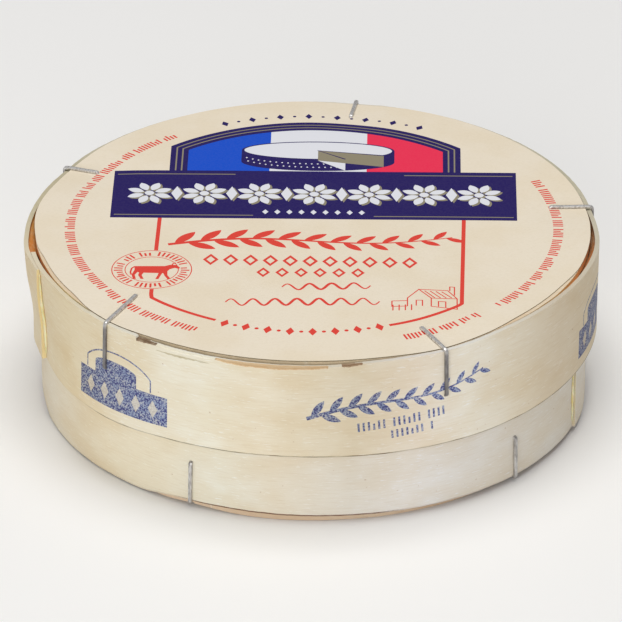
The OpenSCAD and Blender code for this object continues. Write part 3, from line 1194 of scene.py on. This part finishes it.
def veneer(name, pale, warm, dark, hoop=False):
    """Bare peeled veneer: broad warm and pale patches, fine streaks with the grain, flecks and pores."""
    made, tree, shader = new_material(name, Roughness=0.62, Specular_IOR_Level=0.35)
    along, across = 0.07, 2.2
    patches = spread(tree, pattern(tree, (along * 0.8, 0.1, 0.1), 2.0), 0.36, 0.66)
    wood = mix(tree, patches, pale, warm)
    fine = pattern(tree, (along * 3.4, across * 1.4, 0.3), 4.0, 11.0)
    wood = mix(tree, spread(tree, fine, 0.45, 0.8, 0.0, 0.32), wood, dark)
    flecks = spread(tree, pattern(tree, (along * 7, across * 1.6, 0.3), 2.0, 31.0), 0.6, 0.7, 0.0, 0.6)
    wood = mix(tree, flecks, wood, (250, 246, 234))
    specks = spread(tree, pattern(tree, (1.1, 1.6, 1.0), 1.0, 57.0), 0.76, 0.80, 0.0, 0.5)
    wood = mix(tree, specks, wood, (172, 132, 84))
    tint, strength = painted(tree, "tint")
    took = spread(tree, pattern(tree, (0.5, 3.0, 1.0), 3.0, 5.0), 0.3, 0.6, 0.75, 1.05)
    wood = mix(tree, calc(tree, "MULTIPLY", strength, took), wood, tint)
    if hoop:
        wood = mix(tree, 1.0, inked(tree, wood), painted(tree, "tone")[0], "MULTIPLY")
    tree.links.new(wood, shader.inputs["Base Color"])
    height = calc(tree, "ADD", calc(tree, "MULTIPLY", fine, 0.8), calc(tree, "MULTIPLY", flecks, 0.4))
    bumped(tree, shader, height, 0.35, 0.00012)
    return made


def inked(tree, wood):
    """Blue stamp ink that took unevenly on the wood."""
    stamp, _ = painted(tree, "stamp")
    mask = add_node(tree, "SeparateColor", Color=stamp).outputs[0]
    blots = pattern(tree, (2.9, 3.3, 1.0), 3.0, 71.0)
    broad = pattern(tree, (0.35, 0.5, 1.0), 1.0, 83.0)
    took = spread(tree, calc(tree, "ADD", blots, calc(tree, "MULTIPLY", broad, 0.35)), 0.5, 0.68, 0.6, 1.0)
    ink = mix(tree, spread(tree, blots, 0.44, 0.6), (140, 154, 184), (58, 58, 120))
    return mix(tree, calc(tree, "MULTIPLY", mask, took), wood, ink)


def label_paper():
    """Matt coated paper with plain inks."""
    made, tree, shader = new_material("label_paper", Roughness=0.5, Specular_IOR_Level=0.2)
    clouds = spread(tree, pattern(tree, (0.06, 0.06, 0.06), 3.0), 0.35, 0.65)
    paper = mix(tree, clouds, (239, 228, 209), (236, 223, 200))
    fibres = pattern(tree, (1.6, 2.2, 1.0), 4.0, 9.0)
    paper = mix(tree, spread(tree, fibres, 0.4, 0.8, 0.0, 0.16), paper, (205, 190, 160))
    ink, strength = painted(tree, "ink")
    grainy = spread(tree, pattern(tree, (3.0, 3.0, 1.0), 2.0, 41.0), 0.3, 0.7, 1.0, 0.985)
    colour = mix(tree, calc(tree, "MULTIPLY", strength, grainy), paper, ink)
    tree.links.new(colour, shader.inputs["Base Color"])
    bumped(tree, shader, fibres, 0.12, 0.00006)
    return made


def staple_steel():
    """Dull galvanised wire, scuffed along its length, with painted shade that darkens it below the lid's
    top: strongly down the lid's side, slightly on the base's staples.
    """
    made, tree, shader = new_material("staple_steel", Metallic=0.72)
    scuffs = pattern(tree, (2.2, 2.2, 0.6), 3.0, 3.0)
    steel = mix(tree, spread(tree, scuffs, 0.35, 0.7), (238, 237, 236), (176, 172, 170))
    height = add_node(tree, "SeparateXYZ", Vector=grain_place(tree)).outputs["Z"]
    # Painted shade: the wire is darkened below the lid's top, less so low down.
    leg_shade = spread(tree, calc(tree, "ADD", height, scuffs), LID_TOP - 1.2, LID_TOP + 0.4, 0.8, 0.0)
    leg_shade = calc(tree, "MULTIPLY", leg_shade, spread(tree, height, HOOP_FOOT, HOOP_FOOT + 6, 0.3, 1.0))
    steel = mix(tree, leg_shade, steel, (96, 92, 92))
    tree.links.new(steel, shader.inputs["Base Color"])
    tree.links.new(spread(tree, scuffs, 0.3, 0.7, 0.28, 0.5), shader.inputs["Roughness"])
    bumped(tree, shader, scuffs, 0.12, 0.00005)
    return made


def dried_glue():
    """Yellow glue, darker where it is thick."""
    made, tree, shader = new_material("dried_glue", Roughness=0.22, Subsurface_Weight=0.35,
                                      Subsurface_Scale=0.001)
    lumps = pattern(tree, (1.0, 1.0, 0.45), 2.0, 15.0)
    glue = mix(tree, spread(tree, lumps, 0.35, 0.7), (246, 236, 194), (238, 214, 146))
    tree.links.new(glue, shader.inputs["Base Color"])
    bumped(tree, shader, pattern(tree, (1.2, 1.2, 0.8), 3.0, 25.0), 0.3, 0.0002)
    return made


# ---- The box ----

lid_wood = veneer("lid_veneer", (240, 231, 208), (234, 220, 190), (214, 192, 152), hoop=True)
base_wood = veneer("base_veneer", (238, 230, 210), (232, 219, 192), (212, 192, 156), hoop=True)
disc_wood = veneer("disc_veneer", (232, 214, 186), (224, 200, 168), (196, 160, 122))
paper = label_paper()
steel = staple_steel()
glue = dried_glue()

make_label(paper)
make_lid_disc(disc_wood)
make_lid_hoop(lid_wood)
make_base(base_wood)
make_bottom_disc(disc_wood)
for number in range(STAPLES):
    make_lid_staple(number, steel)
    make_base_staple(number, steel)
make_glue("lid_glue_strand", "lid_glue",
          lambda z: (strip_radius(LID_GLUE_A - STRIP_START, z - HOOP_FOOT, 1) + 0.18, LID_GLUE_A),
          HOOP_FOOT + 1.5, HOOP_TOP - 0.8, 1.5, 0.6, 51, glue)
make_glue("base_glue_strand", "base_glue", lambda z: (base_face(BASE_LAP_A - 0.6) + 0.1, BASE_LAP_A - 0.6),
          BASE_FOOT + 1.5, HOOP_FOOT - 1, 1.2, 0.4, 61, glue)

# ---- Floor, light and camera ----


def make_floor():
    mesh = bpy.data.meshes.new("floor")
    mesh.from_pydata([(-4, -4, 0), (4, -4, 0), (4, 4, 0), (-4, 4, 0)], [], [(0, 1, 2, 3)])
    grey = (0.93, 0.93, 0.93, 1)
    mesh.materials.append(new_material("floor", Base_Color=grey, Roughness=0.9, Specular_IOR_Level=0.1)[0])
    floor = add_object("floor", mesh)


def add_light(name, place, size, power, colour=(1, 1, 1)):
    light = bpy.data.lights.new(name, "AREA")
    light.size, light.energy, light.color = size, power, colour
    lamp = add_object(name, light)
    lamp.location = place
    lamp.rotation_euler = (-Vector(place)).to_track_quat("-Z", "Y").to_euler()


def set_world(strength):
    world = bpy.data.worlds.new("studio")
    world.use_nodes = True
    for socket, value in zip(world.node_tree.nodes["Background"].inputs, ((1, 1, 1, 1), strength)):
        socket.default_value = value
    bpy.context.scene.world = world


def add_camera():
    data = bpy.data.cameras.new("camera")
    data.lens, data.sensor_width = 330.3, 36
    data.clip_start, data.clip_end = 0.05, 20
    camera = add_object("camera", data)
    camera.location = (-0.0004, -0.9997, 0.5654)
    camera.rotation_euler = Euler((radians(61.243), 0, 0))
    bpy.context.scene.camera = camera


make_floor()
set_world(0.27)
add_light("overhead", (0, 0, 1.4), 0.9, 11.9, (1.0, 0.985, 0.96))
add_light("key", polar(0.95, 257, 0.36), 0.6, 3.5, (1.0, 0.985, 0.955))
add_camera()
bpy.context.scene.view_settings.view_transform = "Standard"
